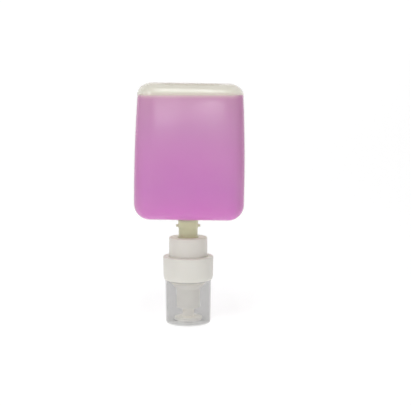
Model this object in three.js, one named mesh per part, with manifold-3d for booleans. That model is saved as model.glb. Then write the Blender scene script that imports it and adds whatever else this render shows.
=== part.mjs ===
// Foaming hand soap refill: a soft bottle, base up, on a foam pump with a dust cap.
// Millimetres, +Z up. The origin is where the pump's axis meets the ground under the dust cap,
// and the bottle's broad front face looks towards -Y.
import * as THREE from 'three';
import { mergeVertices } from 'three/addons/utils/BufferGeometryUtils.js';
import Module from 'manifold-3d';

const wasm = await Module();
wasm.setup();

// ---------------------------------------------------------------- driving dimensions
const GAP = 0.3; // running clearance between neighbouring pieces
const TURN = 2 * Math.PI;
const OUTER_SIDES = 36; // facets round the large visible rings
const INNER_SIDES = 20; // facets round the small hidden rings

const BODY = {
  shoulder: 107.9, // height where the bottle starts above its neck
  base: 242.3, // the upturned base
  widest: 144, // height of the greatest width
  halfWidth: 54.7,
  halfDepth: 42.1,
  barrel: 2.6, // how much the half width has drawn in at the base
  corner: 16, // radius of the upright corners
  shoulderRadius: 15.8,
  baseRadius: 11.3,
  wall: 0.9,
  dish: 1.5, // depth of the recess in the base
  dishSlope: 6, // width of the recess's sloping border
  dishBorder: 5, // flat rim between the base radius and the recess
  lean: THREE.MathUtils.degToRad(0.9), // the soft bottle leans towards +X on its neck
  cornerSteps: 6,
};
const NECK = { mouth: 70.5, radius: 10.1, bore: 8, waist: 9.7, waistSpan: [88.8, 97.2] };
const LUG = { height: 99.5, radius: 1.3, reach: 12.3 }; // round stops on the neck's two sides
const SOAP_LEVEL = 231.2;

const COLLAR_TOP = 88.1; // top of the closure
const CLOSURE = { radius: 19.4, plate: 2, wall: 1.8, foot: 45.7, hub: 72, edge: 1.5 };
const STOP_RING = { radius: 21, low: 64, high: 66.4 };
const LOWER = { top: 68.7, foot: 45, radius: 25.5, footRadius: 25.05, plate: 2, edge: 1 };
const CAP = { rim: 63.6, radius: 23.3, midRadius: 23.25, footRadius: 22.6, round: 2.8, wall: 1.1 };

const PLATE = { low: 66.6, high: 68.4, radius: 17.2 }; // the liquid cylinder's seat
const LIQUID = { bore: 5, wall: 1.3, top: 96, roof: 2 };
const AIR = { bore: 15.9, wall: 1.3, top: 66.3, ledge: 45, flange: [42.6, 45.4] };
const NOSE = { radius: 11.9, bore: 10.5, foot: 16.1, floor: 18.1, top: 35.8, exit: 6.25 };
const STEM = { radius: 5.9, bore: 4.2, foot: 6.6, shoulder: 45, thin: 3.4, passage: 1.8, top: 78 };
const FLANGE = { low: 3.7, high: 6.3, radius: 14.1, tip: 3.1, nozzle: 4.5, bore: 2.6, spigot: 3.9 };
const PISTON = { low: 45.3, disc: 46.8, lip: 48.6, hub: 48.3, hole: 12.6 };
const SPRING = { low: 47.1, high: 66.3, radius: 9.5, wire: 0.6, turns: 5.5, closing: 0.5 };
const SLEEVE = { low: 20, high: 34, radius: 3.9, bore: 3.1, screen: 0.3 };

// ---------------------------------------------------------------- shared shapes

// Points of an arc in the radius/height plane, angles in degrees.
function arc(centreR, centreZ, radius, from, to, steps = 5) {
  const points = [];
  for (let i = 0; i <= steps; i += 1) {
    const angle = THREE.MathUtils.degToRad(from + ((to - from) * i) / steps);
    points.push([centreR + radius * Math.cos(angle), centreZ + radius * Math.sin(angle)]);
  }
  return points;
}

// Turned solid about Z. The profile runs anticlockwise in the radius/height plane.
function turned(profile, sides = OUTER_SIDES) {
  const onAxis = profile[0][0] === 0;
  const loop = onAxis ? profile : [...profile, profile[0]];
  const points = loop.map(([r, z]) => new THREE.Vector2(r, z));
  const geometry = new THREE.LatheGeometry(points, sides);
  geometry.rotateX(Math.PI / 2);
  return geometry;
}

// Plain upright rod, used as a cutter.
function rod(radius, low, high, x = 0, y = 0, sides = 12) {
  const geometry = new THREE.CylinderGeometry(radius, radius, high - low, sides);
  geometry.rotateX(Math.PI / 2);
  geometry.translate(x, y, (low + high) / 2);
  return geometry;
}

// Merged copy of a closed geometry with its zero-area triangles left out.
function welded(geometry) {
  const plain = geometry.clone();
  plain.deleteAttribute('normal');
  plain.deleteAttribute('uv');
  const merged = mergeVertices(plain, 1e-4);
  const source = merged.index.array;
  const kept = [];
  for (let i = 0; i < source.length; i += 3) {
    const [a, b, c] = [source[i], source[i + 1], source[i + 2]];
    if (a !== b && b !== c && c !== a) kept.push(a, b, c);
  }
  merged.setIndex(kept);
  return merged;
}

function toSolid(geometry) {
  const merged = welded(geometry);
  const vertProperties = new Float32Array(merged.attributes.position.array);
  const triVerts = new Uint32Array(merged.index.array);
  return new wasm.Manifold(new wasm.Mesh({ numProp: 3, vertProperties, triVerts }));
}

function toGeometry(solid) {
  const { vertProperties, triVerts } = solid.getMesh();
  const geometry = new THREE.BufferGeometry();
  geometry.setAttribute('position', new THREE.BufferAttribute(vertProperties, 3));
  geometry.setIndex(new THREE.BufferAttribute(triVerts, 1));
  geometry.computeVertexNormals();
  return geometry;
}

// Rings of equal point count skinned into one closed solid, first ring lowest.
function loft(rings) {
  const count = rings[0].length;
  const positions = rings.flat(2);
  const index = [];
  for (let row = 0; row < rings.length - 1; row += 1) {
    for (let i = 0; i < count; i += 1) {
      const next = (i + 1) % count;
      const low = row * count;
      const high = low + count;
      index.push(low + i, low + next, high + next);
      index.push(low + i, high + next, high + i);
    }
  }
  const last = (rings.length - 1) * count;
  for (let i = 1; i < count - 1; i += 1) {
    index.push(0, i + 1, i);
    index.push(last, last + i, last + i + 1);
  }
  const geometry = new THREE.BufferGeometry();
  geometry.setAttribute('position', new THREE.Float32BufferAttribute(positions, 3));
  geometry.setIndex(index);
  return geometry;
}

// ---------------------------------------------------------------- the bottle's form

// One outline of the bottle: a rounded rectangle, drawn in from the greatest size and leaning.
function outline(z, inset) {
  const rise = (z - BODY.widest) / (BODY.base - BODY.baseRadius - BODY.widest);
  const drawn = BODY.barrel * rise * rise + inset;
  const halfX = BODY.halfWidth - drawn;
  const halfY = BODY.halfDepth - drawn;
  const corner = Math.max(BODY.corner - inset, 3);
  const height = z - NECK.mouth;
  const ring = [];
  for (let quarter = 0; quarter < 4; quarter += 1) {
    const signX = quarter === 0 || quarter === 3 ? 1 : -1;
    const signY = quarter < 2 ? 1 : -1;
    for (let i = 0; i <= BODY.cornerSteps; i += 1) {
      const angle = ((quarter + i / BODY.cornerSteps) * Math.PI) / 2;
      const x = signX * (halfX - corner) + corner * Math.cos(angle);
      const y = signY * (halfY - corner) + corner * Math.sin(angle);
      const leaningX = x * Math.cos(BODY.lean) + height * Math.sin(BODY.lean);
      const leaningZ = height * Math.cos(BODY.lean) - x * Math.sin(BODY.lean);
      ring.push([leaningX, y, NECK.mouth + leaningZ]);
    }
  }
  return ring;
}

// Outlines from the shoulder to the recess in the base, offset inwards by `skin`.
function bodyRings(skin) {
  const rings = [];
  const low = BODY.shoulder + BODY.shoulderRadius;
  const high = BODY.base - BODY.baseRadius;
  for (const [inset, z] of arc(0, low, BODY.shoulderRadius - skin, -90, 0, 5)) {
    rings.push(outline(z, BODY.shoulderRadius - inset));
  }
  for (let i = 1; i <= 3; i += 1) {
    rings.push(outline(low + ((high - low) * i) / 3, skin));
  }
  const radius = BODY.baseRadius - skin;
  for (const [inset, z] of arc(0, high, radius, 0, 90, 5).slice(1)) {
    rings.push(outline(z, BODY.baseRadius - inset));
  }
  const border = BODY.baseRadius + BODY.dishBorder;
  rings.push(outline(BODY.base - skin, border));
  rings.push(outline(BODY.base - skin - BODY.dish, border + BODY.dishSlope));
  return rings;
}

// One bar through the neck, rounded at both ends; the bore later clears its middle.
function lugs() {
  const { height, radius, reach } = LUG;
  const end = reach - radius / 2;
  const profile = [
    [0, -reach],
    [radius * 0.7, -reach + radius * 0.12],
    [radius, -end],
    [radius, end],
    [radius * 0.7, reach - radius * 0.12],
    [0, reach],
  ];
  const geometry = turned(profile, 12);
  geometry.rotateY(Math.PI / 2);
  geometry.translate(0, 0, height);
  return geometry;
}

function bottle() {
  const { mouth, radius, bore, waist, waistSpan } = NECK;
  const joinHeight = BODY.shoulder + BODY.wall + 2;
  const neck = turned([
    [0, mouth],
    [radius, mouth],
    [radius, waistSpan[0]],
    [waist, waistSpan[0] + 0.4],
    [waist, waistSpan[1] - 0.4],
    [radius, waistSpan[1]],
    [radius, BODY.shoulder - 4.5],
    [radius + 1, BODY.shoulder - 2],
    [radius + 4, BODY.shoulder],
    [radius + 4, joinHeight],
    [0, joinHeight],
  ]);
  const passage = turned([
    [0, mouth - 1],
    [bore, mouth - 1],
    [bore, BODY.shoulder - 5],
    [bore + 2, BODY.shoulder - 1],
    [bore + 4, BODY.shoulder + BODY.wall],
    [bore + 4, joinHeight + 1],
    [0, joinHeight + 1],
  ]);
  const outside = toSolid(loft(bodyRings(0))).add(toSolid(neck)).add(toSolid(lugs()));
  const inside = toSolid(loft(bodyRings(BODY.wall))).add(toSolid(passage));
  return toGeometry(outside.subtract(inside));
}

function soap() {
  const skin = BODY.wall + GAP;
  const tube = LIQUID.bore + LIQUID.wall + GAP;
  const column = turned([
    [0, PLATE.high + GAP],
    [NECK.bore - GAP, PLATE.high + GAP],
    [NECK.bore - GAP, BODY.shoulder - 4],
    [NECK.bore + 1.4, BODY.shoulder],
    [NECK.bore + 3, BODY.shoulder + skin],
    [NECK.bore + 3, BODY.shoulder + skin + 2],
    [0, BODY.shoulder + skin + 2],
  ]);
  const fill = toSolid(loft(bodyRings(skin))).add(toSolid(column));
  const airSpace = toSolid(rod(BODY.halfWidth + BODY.halfDepth, SOAP_LEVEL, BODY.base + 10));
  const pumpSpace = toSolid(rod(tube, NECK.mouth - 5, LIQUID.top + GAP, 0, 0, 24));
  const valveSpace = toSolid(rod(2, LIQUID.top, LIQUID.top + 2));
  return toGeometry(fill.subtract(airSpace).subtract(pumpSpace).subtract(valveSpace));
}

// ---------------------------------------------------------------- collars and cap

// Threaded on to the neck, with a skirt that holds the pump and a ring that stops the lower collar.
function closure() {
  const { radius, plate, wall, foot, hub, edge } = CLOSURE;
  const bore = NECK.radius + GAP;
  return turned([
    [radius - wall, foot],
    [radius, foot],
    [radius, STOP_RING.low],
    [STOP_RING.radius, STOP_RING.low],
    [STOP_RING.radius, STOP_RING.high],
    [radius, STOP_RING.high],
    ...arc(radius - edge, COLLAR_TOP - edge, edge, 0, 90, 3),
    [bore, COLLAR_TOP],
    [bore, hub],
    [bore + 2, hub],
    [bore + 2, COLLAR_TOP - plate],
    [radius - wall, COLLAR_TOP - plate],
  ]);
}

function lowerCollar() {
  const { top, foot, radius, footRadius, plate, edge } = LOWER;
  const inside = CAP.radius + GAP;
  return turned([
    [inside, foot],
    [footRadius - 0.8, foot],
    [footRadius, foot + 3.3],
    ...arc(radius - edge, top - edge, edge, 0, 90, 3),
    [CLOSURE.radius + GAP, top],
    [CLOSURE.radius + GAP, top - plate],
    [inside, top - plate],
  ]);
}

// A cup with a rounded foot, a plain wall and its rim inside the lower collar.
function dustCap() {
  const { rim, radius, midRadius, footRadius, round, wall } = CAP;
  const centre = footRadius - round;
  return turned([
    [0, 0],
    ...arc(centre, round, round, -90, 0, 4),
    [midRadius, LOWER.foot],
    [radius, rim],
    [radius - wall, rim],
    [midRadius - wall, LOWER.foot],
    ...arc(centre, round, round - wall, 0, -90, 4),
    [0, wall],
  ]);
}

// ---------------------------------------------------------------- fixed pump parts

function neckGasket() {
  const low = PLATE.high + GAP;
  const high = NECK.mouth - GAP;
  const inner = NECK.bore + GAP;
  return turned([[inner, low], [NECK.radius, low], [NECK.radius, high], [inner, high]], INNER_SIDES);
}

// Seat plate, tube and a roof with a ring of inlet holes round the valve's own hole.
function liquidCylinder() {
  const { bore, wall, top, roof } = LIQUID;
  const body = turned([
    [bore, PLATE.low],
    [PLATE.radius, PLATE.low],
    [PLATE.radius, PLATE.high],
    [bore + wall, PLATE.high],
    [bore + wall, top],
    [1.3, top],
    [1.3, top - roof],
    [bore, top - roof],
  ], 28);
  let solid = toSolid(body);
  const holes = 6;
  for (let i = 0; i < holes; i += 1) {
    const angle = (TURN * i) / holes;
    const cutter = rod(0.7, top - roof - 1, top + 1, 3 * Math.cos(angle), 3 * Math.sin(angle), 8);
    solid = solid.subtract(toSolid(cutter));
  }
  return toGeometry(solid);
}

// Mushroom valve: the flap lies under the roof and the barb holds above it.
function inletValve() {
  const underside = LIQUID.top - LIQUID.roof - GAP;
  return turned([
    [0, underside - 1],
    [4.2, underside - 0.5],
    [4.2, underside],
    [1, underside],
    [1, LIQUID.top + GAP],
    [1.5, LIQUID.top + GAP],
    [0.8, LIQUID.top + 1.4],
    [0, LIQUID.top + 1.4],
  ], INNER_SIDES);
}

// Pump housing: air barrel, flange under the closure, cone and nose with the stem's exit.
function airCylinder() {
  const { bore, wall, top, ledge, flange } = AIR;
  return turned([
    [NOSE.exit, NOSE.foot],
    [NOSE.radius - 0.8, NOSE.foot],
    [NOSE.radius, NOSE.foot + 0.8],
    [NOSE.radius, NOSE.top],
    [NOSE.radius + 0.8, NOSE.top],
    [17.6, flange[0] - 1.2],
    [16.2, flange[0] - 1.2],
    [16.2, flange[0]],
    [CLOSURE.radius, flange[0]],
    [CLOSURE.radius, flange[1]],
    [bore + wall, flange[1]],
    [bore + wall, top],
    [bore, top],
    [bore, ledge],
    [13.6, ledge],
    [13.6, flange[0]],
    [NOSE.bore, NOSE.top + 1.7],
    [NOSE.bore, NOSE.floor],
    [NOSE.exit, NOSE.floor],
  ]);
}

function stemWiper() {
  const low = NOSE.floor + GAP;
  const lip = STEM.radius + GAP;
  return turned([
    [lip, low],
    [NOSE.bore - GAP, low],
    [NOSE.bore - GAP, low + 1.6],
    [lip + 1.4, low + 1.6],
    [lip + 0.7, low + 3.4],
    [lip, low + 3.4],
  ], 24);
}

// Compression spring: the coils close up towards both ends.
class SpringLine extends THREE.Curve {
  getPoint(t, target = new THREE.Vector3()) {
    const { low, high, radius, wire, turns, closing } = SPRING;
    const angle = TURN * turns * t;
    const rise = t - (closing * Math.sin(TURN * t)) / TURN;
    const z = low + wire + (high - low - 2 * wire) * rise;
    return target.set(radius * Math.cos(angle), radius * Math.sin(angle), z);
  }
}

function returnSpring() {
  const section = new THREE.Shape().absarc(0, 0, SPRING.wire, 0, TURN, false);
  const options = { steps: 88, bevelEnabled: false, curveSegments: 3, extrudePath: new SpringLine() };
  return new THREE.ExtrudeGeometry(section, options);
}

// ---------------------------------------------------------------- moving pump parts

// Wide lower tube, shoulder and narrow upper tube with air ports over the air piston.
function stem() {
  const { radius, bore, foot, shoulder, thin, passage, top } = STEM;
  const body = turned([
    [bore, foot],
    [radius, foot],
    [radius, shoulder],
    [thin, shoulder],
    [thin, top],
    [passage, top],
    [passage, shoulder - 4],
    [bore, shoulder - 6],
  ], 24);
  let solid = toSolid(body);
  const port = new THREE.CylinderGeometry(0.8, 0.8, 3 * thin, 8);
  for (let i = 0; i < 2; i += 1) {
    const cutter = port.clone();
    cutter.rotateZ((i * Math.PI) / 2);
    cutter.translate(0, 0, PISTON.hub + 1.8);
    solid = solid.subtract(toSolid(cutter));
  }
  return toGeometry(solid);
}

// Cup seal on the stem's end, open upwards, with the valve's flange trapped inside it.
function liquidPiston() {
  const grip = STEM.thin + GAP;
  const lip = LIQUID.bore - GAP;
  const seat = STEM.top + 1.4;
  const rim = STEM.top + 5.2; // stays under the inlet valve's flap at the end of the stroke
  return turned([
    [grip, STEM.top - 3],
    [lip - 0.2, STEM.top - 3],
    [lip - 0.2, STEM.top - 1.5],
    [lip, STEM.top - 1],
    [lip, rim],
    [lip - 0.5, rim],
    [lip - 0.9, seat + 1.6],
    [1.4, seat + 1.6],
    [1.4, seat],
    [grip, seat],
  ], INNER_SIDES);
}

// Duckbill that hangs into the stem's passage.
function outletValve() {
  const low = STEM.top + GAP;
  return turned([
    [0.3, STEM.top - 3.5],
    [0.8, STEM.top - 3.5],
    [1.5, STEM.top],
    [1.5, low],
    [2.9, low],
    [2.9, low + 0.8],
    [0.9, low + 0.8],
  ], INNER_SIDES);
}

// Disc with an outer lip and a ring of inlet holes under the air valve.
function airPiston() {
  const { low, disc, lip, hub, hole } = PISTON;
  const grip = STEM.thin + GAP;
  const edge = AIR.bore - GAP;
  const body = turned([
    [grip, low],
    [edge, low],
    [edge, lip],
    [edge - 0.7, lip],
    [edge - 0.7, disc],
    [grip + 1.2, disc],
    [grip + 1.2, hub],
    [grip, hub],
  ]);
  let solid = toSolid(body);
  const holes = 6;
  for (let i = 0; i < holes; i += 1) {
    const angle = (TURN * i) / holes;
    const cutter = rod(0.8, low - 1, disc + 1, hole * Math.cos(angle), hole * Math.sin(angle), 8);
    solid = solid.subtract(toSolid(cutter));
  }
  return toGeometry(solid);
}

function airValve() {
  const low = PISTON.disc + GAP;
  const inner = SPRING.radius + SPRING.wire + 0.8;
  return turned([
    [inner, low],
    [PISTON.hole + 1.8, low],
    [PISTON.hole + 1.8, low + 0.4],
    [inner + 1, low + 0.6],
    [inner + 1, low + 1.2],
    [inner, low + 1.2],
  ], 24);
}

function mixingSleeve() {
  const { low, high, radius, bore } = SLEEVE;
  return turned([[bore, low], [radius, low], [radius, high], [bore, high]], INNER_SIDES);
}

function screen(low) {
  const { radius, screen: thickness } = SLEEVE;
  return turned([[0, low], [radius, low], [radius, low + thickness], [0, low + thickness]], INNER_SIDES);
}

// Nozzle and the flange that the dispenser's lever lifts, with a spigot up into the stem.
function pushFlange() {
  const { low, high, radius, tip, nozzle, bore, spigot } = FLANGE;
  return turned([
    [bore, tip],
    [nozzle - 0.6, tip],
    [nozzle, low],
    [radius - 0.5, low],
    [radius, low + 0.5],
    [radius, high - 0.5],
    [radius - 0.5, high],
    [spigot, high],
    [spigot, high + 8],
    [bore, high + 8],
  ], 32);
}

// ---------------------------------------------------------------- materials and assembly

const finish = {
  naturalBottle: { color: 0xd6d4c4, roughness: 0.35, metalness: 0, transparent: true, opacity: 0.4 },
  pinkSoap: { color: 0xc986bd, roughness: 0.2, metalness: 0, transparent: true, opacity: 0.95 },
  whitePlastic: { color: 0xe4e1da, roughness: 0.4, metalness: 0 },
  frostedCap: { color: 0xe2e0dc, roughness: 0.5, metalness: 0, transparent: true, opacity: 0.45 },
  elastomer: { color: 0xc9c4b8, roughness: 0.7, metalness: 0 },
  springSteel: { color: 0xb4b6b8, roughness: 0.3, metalness: 1 },
  nylonMesh: { color: 0xecebe6, roughness: 0.8, metalness: 0 },
};

function piece(name, geometry, surface) {
  const mesh = new THREE.Mesh(geometry, new THREE.MeshStandardMaterial(surface));
  mesh.name = name;
  return mesh;
}

const pack = new THREE.Group();
pack.add(
  piece('bottle', bottle(), finish.naturalBottle),
  piece('soap', soap(), finish.pinkSoap),
  piece('closure', closure(), finish.whitePlastic),
  piece('lower_collar', lowerCollar(), finish.whitePlastic),
  piece('neck_gasket', neckGasket(), finish.elastomer),
  piece('liquid_cylinder', liquidCylinder(), finish.whitePlastic),
  piece('inlet_valve', inletValve(), finish.elastomer),
  piece('air_cylinder', airCylinder(), finish.whitePlastic),
  piece('stem_wiper', stemWiper(), finish.elastomer),
  piece('return_spring', returnSpring(), finish.springSteel),
);

const plunger = new THREE.Group();
plunger.add(
  piece('stem', stem(), finish.whitePlastic),
  piece('liquid_piston', liquidPiston(), finish.whitePlastic),
  piece('outlet_valve', outletValve(), finish.elastomer),
  piece('air_piston', airPiston(), finish.whitePlastic),
  piece('air_valve', airValve(), finish.elastomer),
  piece('mixing_sleeve', mixingSleeve(), finish.whitePlastic),
  piece('upper_screen', screen(SLEEVE.high + GAP), finish.nylonMesh),
  piece('lower_screen', screen(SLEEVE.low - GAP - SLEEVE.screen), finish.nylonMesh),
  piece('push_flange', pushFlange(), finish.whitePlastic),
);
pack.add(plunger);
pack.add(piece('dust_cap', dustCap(), finish.frostedCap));

export default pack;
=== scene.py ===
"""Looks of a foaming hand soap refill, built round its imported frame.

The pack stands on its dust cap: a soft, milky bottle of pink soap, base up, on a foam pump.
Every piece is made in the frame's own metres, rides on one of the frame's bodies and stands
for the plain solid of its node. Sizes inside the classes are millimetres unless they say so.
"""

import logging
import math
from dataclasses import dataclass
from enum import Enum
from typing import ClassVar

import bmesh
import bpy
import numpy as np
from mathutils import Matrix, Vector


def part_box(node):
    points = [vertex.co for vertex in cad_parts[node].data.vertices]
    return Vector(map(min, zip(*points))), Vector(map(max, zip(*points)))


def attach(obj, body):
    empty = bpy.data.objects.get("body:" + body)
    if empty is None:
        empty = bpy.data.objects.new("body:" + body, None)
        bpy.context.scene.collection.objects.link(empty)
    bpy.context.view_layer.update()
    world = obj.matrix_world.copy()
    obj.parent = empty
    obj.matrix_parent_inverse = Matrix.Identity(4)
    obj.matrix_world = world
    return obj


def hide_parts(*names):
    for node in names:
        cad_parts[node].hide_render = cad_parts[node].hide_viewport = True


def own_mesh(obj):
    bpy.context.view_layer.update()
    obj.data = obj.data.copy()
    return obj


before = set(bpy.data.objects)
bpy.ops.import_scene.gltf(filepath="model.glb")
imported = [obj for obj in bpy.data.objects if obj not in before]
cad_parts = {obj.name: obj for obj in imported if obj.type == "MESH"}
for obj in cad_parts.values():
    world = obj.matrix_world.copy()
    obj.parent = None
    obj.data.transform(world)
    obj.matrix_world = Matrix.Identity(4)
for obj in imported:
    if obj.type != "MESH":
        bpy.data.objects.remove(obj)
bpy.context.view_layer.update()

LOG = logging.getLogger("soap_refill")
MM = 0.001
TURN = 2 * math.pi
NOISE_SPAN = (0.3, 0.7)  # where most of a noise pattern lies
FILLET_REACH = 0.48  # most of an edge that one fillet may use up
SEAM = 1e-6  # metres between points that are sewn together
SLIVER = 1e-7  # metres across a face that is dropped

Corner = tuple[float, float, float]
Colour = tuple[int, int, int]
Socket = bpy.types.NodeSocket
Material = bpy.types.Material
Object = bpy.types.Object
Mesh = bpy.types.Mesh


class Body(Enum):
    """The frame's rigid bodies."""

    PACK = "pack"
    PLUNGER = "plunger"
    CAP = "cap"


class Slot(Enum):
    """The record's material slots."""

    BOTTLE = "natural_bottle"
    SOAP = "pink_soap"
    WHITE = "white_plastic"
    ELASTOMER = "elastomer"
    STEEL = "spring_steel"
    MESH = "nylon_mesh"
    CAP = "frosted_cap"


def linear(colour: Colour) -> tuple[float, float, float, float]:
    """Turn display values into the linear colour that shaders take.

    Args:
        colour: Red, green and blue from 0 to 255.

    Returns:
        Linear red, green and blue with an alpha of one.
    """
    shares = [value / 255 for value in colour]
    lit = [s / 12.92 if s <= 0.04045 else ((s + 0.055) / 1.055) ** 2.4 for s in shares]
    return (*lit, 1.0)


def darker(colour: Colour, levels: int) -> Colour:
    """Darken a display colour by some levels."""
    return tuple(value - levels for value in colour)


# ------------------------------------------------------------------ node trees


class NodeTree:
    """A node tree with short ways to add to it."""

    def __init__(self, tree: bpy.types.NodeTree) -> None:
        """Keep hold of the tree's nodes and links."""
        self.nodes = tree.nodes
        self.links = tree.links

    def add(self, kind: str, plugs: dict | None = None, **settings: object) -> bpy.types.Node:
        """Add a node, set its properties and fill its inputs.

        Args:
            kind: The node's type name.
            plugs: Sockets or plain values by input name or number.
            **settings: Property values by name.

        Returns:
            The new node.
        """
        node = self.nodes.new(kind)
        for key, value in settings.items():
            setattr(node, key, value)
        for key, value in (plugs or {}).items():
            if isinstance(value, Socket):
                self.links.new(value, node.inputs[key])
            else:
                node.inputs[key].default_value = value
        return node

    def maths(self, operation: str, *values: object) -> Socket:
        """Add a Math node on sockets or numbers and give its output."""
        plugs = dict(enumerate(values))
        return self.add("ShaderNodeMath", plugs, operation=operation).outputs[0]

    def split(self, vector: Socket) -> bpy.types.NodeOutputs:
        """Separate a vector into its X, Y and Z outputs."""
        return self.add("ShaderNodeSeparateXYZ", {0: vector}).outputs


class ShaderTree(NodeTree):
    """One material's node tree with its Principled node and short ways to add to it."""

    def __init__(self, name: str) -> None:
        """Start a material of this name."""
        self.material = bpy.data.materials.new(name)
        self.material.use_nodes = True
        super().__init__(self.material.node_tree)
        self.surface = self.nodes["Principled BSDF"]
        self.place = self.add("ShaderNodeTexCoord").outputs["Object"]

    def set(self, **values: object) -> None:
        """Set the Principled node's own sockets, named with underscores for spaces."""
        for key, value in values.items():
            self.surface.inputs[key.replace("_", " ")].default_value = value

    def feed(self, name: str, value: Socket) -> None:
        """Link a socket to one of the Principled node's inputs."""
        self.links.new(value, self.surface.inputs[name])

    def finish(self, shader: Socket) -> None:
        """Send a shader to the material's surface in place of the bare Principled node."""
        self.links.new(shader, self.nodes["Material Output"].inputs["Surface"])

    def axis(self, name: str) -> Socket:
        """Give one of the piece's own coordinates, in metres."""
        return self.split(self.place)[name]

    def noise(self, scale: float, detail: float = 3.0) -> Socket:
        """Give a noise pattern from 0 to 1, with so many waves per metre and octaves."""
        plugs = {"Scale": scale, "Detail": detail, "Vector": self.place}
        return self.add("ShaderNodeTexNoise", plugs).outputs["Fac"]

    def spread(self, value: Socket, *ends: float) -> Socket:
        """Map a value from one range to another with a smooth step.

        Args:
            value: The socket to map.
            *ends: From low, from high, to low, to high.

        Returns:
            The mapped value.
        """
        names = ("Value", "From Min", "From Max", "To Min", "To Max")
        plugs = dict(zip(names, (value, *ends)))
        node = self.add("ShaderNodeMapRange", plugs, interpolation_type="SMOOTHSTEP")
        return node.outputs["Result"]

    def ramp(self, value: Socket, stops: list) -> Socket:
        """Colour a value by a ramp.

        Args:
            value: The socket to colour, from 0 to 1.
            stops: Pairs of place and display colour.

        Returns:
            The ramp's colour.
        """
        node = self.add("ShaderNodeValToRGB", {"Fac": value})
        elements = node.color_ramp.elements
        while len(elements) < len(stops):
            elements.new(0.5)
        for element, (place, colour) in zip(elements, stops):
            element.position = place
            element.color = linear(colour)
        return node.outputs["Color"]

    def mix(self, share: object, first: object, second: object) -> Socket:
        """Mix two colours.

        Args:
            share: Socket or number, the second colour's share.
            first: Socket or display colour.
            second: Socket or display colour.

        Returns:
            The mixed colour.
        """
        pair = [linear(c) if isinstance(c, tuple) else c for c in (first, second)]
        plugs = {"Factor": share, 6: pair[0], 7: pair[1]}
        return self.add("ShaderNodeMix", plugs, data_type="RGBA").outputs[2]

    def overlay(self, share: object, first: Socket, second: Socket) -> Socket:
        """Mix two shaders, where share is a socket or number, the second one's share."""
        return self.add("ShaderNodeMixShader", {0: share, 1: first, 2: second}).outputs[0]

    def gloss(self, pattern: Socket, low: float, high: float) -> None:
        """Vary the roughness between two values with a pattern."""
        self.feed("Roughness", self.spread(pattern, *NOISE_SPAN, low, high))

    def bump(self, height: Socket, strength: float, depth: float) -> None:
        """Drive the normal from a height pattern, its depth in metres."""
        plugs = {"Strength": strength, "Distance": depth, "Height": height}
        self.feed("Normal", self.add("ShaderNodeBump", plugs).outputs["Normal"])


# ------------------------------------------------------------------ finishes


@dataclass(frozen=True)
class Moulded:
    """Satin moulded plastic or elastomer with a faint mottle, an orange-peel skin and, where asked
    for, a painted glow that lights it from within.
    """

    name: str
    colour: Colour
    shade: Colour
    roughness: float = 0.42
    depth_glow: float = 0.12
    skin: float = 0.12
    specular: float = 0.45
    painted_glow: float = 0.0

    def material(self) -> Material:
        """Build the material."""
        tree = ShaderTree(self.name)
        tree.feed("Base Color", tree.mix(tree.noise(55), self.shade, self.colour))
        tree.gloss(tree.noise(240), self.roughness - 0.05, self.roughness + 0.06)
        tree.bump(tree.noise(900, 2), self.skin, 0.00006)
        tree.set(
            Subsurface_Weight=self.depth_glow,
            Subsurface_Radius=(1.0, 0.9, 0.75),
            Subsurface_Scale=0.003,
            Specular_IOR_Level=self.specular,
            # Emission at the painted glow's strength is a painted glow: the piece lights itself
            # though it is no lamp.
            Emission_Color=linear(self.colour),
            Emission_Strength=self.painted_glow,
        )
        return tree.material


@dataclass(frozen=True)
class MilkyWall:
    """Natural polyethylene: solid buff neck, walls that clear where soap wets them."""

    name: str
    wet_veil: float
    dry_veil: float
    colour: Colour = (238, 239, 210)
    neck_colour: Colour = (211, 211, 174)
    neck_top: float = 105.0
    neck_fade: float = 2.5
    level: float = 231.2
    level_fade: float = 0.3
    under_veil: float = 0.8
    roughness: float = 0.16

    def material(self) -> Material:
        """Build the material."""
        tree = ShaderTree(self.name)
        height = tree.axis("Z")
        low = (self.neck_top - self.neck_fade) * MM
        high = (self.neck_top + self.neck_fade) * MM
        up = tree.spread(height, low, high, 0.0, 1.0)
        cloud = tree.noise(14, 2)
        body = tree.mix(cloud, self.colour, darker(self.colour, 4))
        tree.feed("Base Color", tree.mix(up, self.neck_colour, body))
        veil = tree.spread(height, low, high, 1.0, self.wet_veil)
        edge = (self.level - self.level_fade) * MM, (self.level + self.level_fade) * MM
        dry = tree.spread(height, *edge, 0.0, self.dry_veil - self.wet_veil)
        facing = tree.split(tree.add("ShaderNodeNewGeometry").outputs["Normal"])["Z"]
        turned_down = tree.spread(facing, -0.999, -0.985, self.under_veil, 0.0)
        plain = tree.maths("MAXIMUM", tree.maths("ADD", veil, dry), turned_down)
        mottle = tree.spread(cloud, 0.2, 0.8, -0.01, 0.01)
        tree.feed("Alpha", tree.maths("ADD", plain, mottle))
        tree.gloss(tree.noise(60), self.roughness - 0.02, self.roughness + 0.03)
        tree.bump(tree.noise(22, 1), 0.1, 0.0003)
        tree.set(Specular_IOR_Level=0.8)
        return tree.material


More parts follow.
